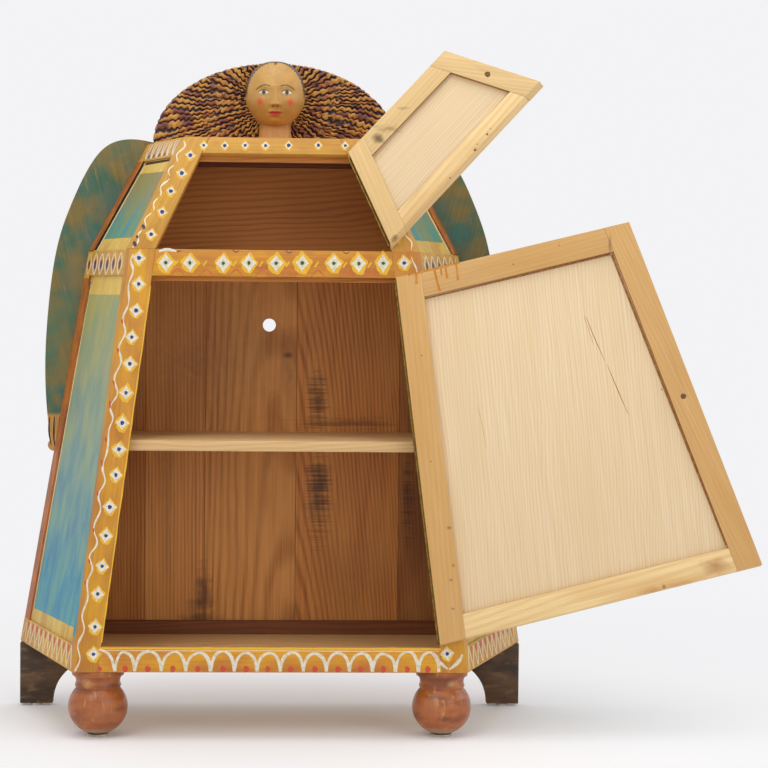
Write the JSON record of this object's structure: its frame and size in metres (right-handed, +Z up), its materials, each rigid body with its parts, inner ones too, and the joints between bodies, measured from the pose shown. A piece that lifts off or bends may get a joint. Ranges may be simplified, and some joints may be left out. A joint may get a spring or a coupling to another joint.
{
  "type": "figural cabinet",
  "caption": "Free-standing painted cabinet shaped as a woman in a wide skirt, with a carved head, hair and arms, panelled doors on leaning hinges, shelf and feet.",
  "frame": {"origin": "on the floor, under the middle of the cabinet's plan, between the feet", "axes": "+Z up, the front with its doors faces -Y, +X to the right as seen from the front"},
  "size_m": [1.3593, 0.3955, 1.2403],
  "materials": {
    "ochre_frame": "worn matte paint over wood",
    "blue_panel": "worn matte paint over wood",
    "inner_pine": "aged bare pine",
    "door_frame": "bare wood inside, paint outside",
    "door_panel": "bare pine inside, paint outside",
    "ball_feet": "worn reddish brown paint",
    "bracket_feet": "dark olive brown paint",
    "glides": "matte",
    "hair": "carved and painted",
    "face": "carved and painted",
    "sleeves": "carved and painted",
    "knobs": "turned, satin",
    "hinge_brass": "dull",
    "steel": "dull"
  },
  "bodies": {
    "body": {"front_bottom_rail": "ochre_frame", "front_waist_rail": "ochre_frame", "front_top_rail": "ochre_frame", "top_board": "ochre_frame", "corner_post_lower_left": "ochre_frame", "corner_post_lower_right": "ochre_frame", "corner_post_upper_left": "ochre_frame", "corner_post_upper_right": "ochre_frame", "side_bottom_rail_left": "ochre_frame", "side_bottom_rail_right": "ochre_frame", "side_waist_rail_left": "ochre_frame", "side_waist_rail_right": "ochre_frame", "side_top_rail_left": "ochre_frame", "side_top_rail_right": "ochre_frame", "back_stile_lower_left": "ochre_frame", "back_stile_lower_right": "ochre_frame", "back_stile_upper_left": "ochre_frame", "back_stile_upper_right": "ochre_frame", "side_panel_lower_left": "blue_panel", "side_panel_lower_right": "blue_panel", "side_panel_upper_left": "blue_panel", "side_panel_upper_right": "blue_panel", "floor_board": "inner_pine", "waist_divider": "inner_pine", "middle_shelf": "inner_pine", "back_planks": "inner_pine", "upper_back_board": "inner_pine", "back_cleats": "inner_pine", "shelf_cleats": "inner_pine", "door_stops": "inner_pine", "ball_foot_left": "ball_feet", "ball_foot_right": "ball_feet", "bracket_foot_left": "bracket_feet", "bracket_foot_right": "bracket_feet", "foot_glides": "glides", "hair_board": "hair", "head": "face", "arm_left": "sleeves", "arm_right": "sleeves", "arm_screws": "steel", "hinge_frame_screws": "steel", "hinge_pins": "steel", "main_hinge_frame_leaf": "hinge_brass", "upper_hinge_frame_leaf": "hinge_brass"},
    "main_door": {"main_door_hinge_stile": "door_frame", "main_door_free_stile": "door_frame", "main_door_top_rail": "door_frame", "main_door_bottom_rail": "door_frame", "main_door_panel": "door_panel", "main_door_knob": "knobs", "main_door_hinge_leaf": "hinge_brass", "main_door_screws": "steel"},
    "upper_door": {"upper_door_hinge_stile": "door_frame", "upper_door_free_stile": "door_frame", "upper_door_top_rail": "door_frame", "upper_door_bottom_rail": "door_frame", "upper_door_panel": "door_panel", "upper_door_knob": "knobs", "upper_door_hinge_leaf": "hinge_brass", "upper_door_screws": "steel"}
  },
  "joints": [
    {"name": "main_door_hinge", "type": "hinge", "parent": "body", "child": "main_door", "pos_m": [0.29921, -0.1769, 0.16631], "axis": [-0.1221, 0.1221, 0.985], "range_deg": [-180, 0]},
    {"name": "upper_door_hinge", "type": "hinge", "parent": "body", "child": "upper_door", "pos_m": [0.21169, -0.08943, 0.87159], "axis": [-0.4069, 0.2165, 0.8874], "range_deg": [-180, 0]}
  ]
}
